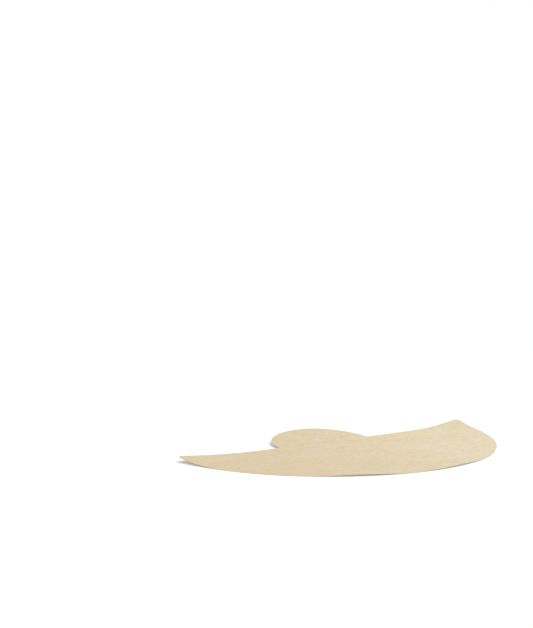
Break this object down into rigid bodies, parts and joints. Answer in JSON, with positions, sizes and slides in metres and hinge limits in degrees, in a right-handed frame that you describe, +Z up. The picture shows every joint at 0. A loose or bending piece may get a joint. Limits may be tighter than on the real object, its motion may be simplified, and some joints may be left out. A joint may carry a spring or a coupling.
{
  "type": "paper coffee filter",
  "caption": "Flat half-disc filter of unbleached paper with a small half-round tab on its straight edge, folded into a cone for pour-over brewing.",
  "frame": {"origin": "on the table under the middle of the outline, so the centre that the half disc and the tab share is 51.75 mm away along +Y", "axes": "+X along the straight edge to the corner that curls up more, +Y from the round rim towards the tab, +Z up from the table"},
  "size_m": [0.2998, 0.1964, 0.0095],
  "materials": {
    "unbleached_paper": "matt, fibrous, unbleached"
  },
  "bodies": {
    "root": {"filter_sheet": "unbleached_paper"}
  },
  "joints": []
}
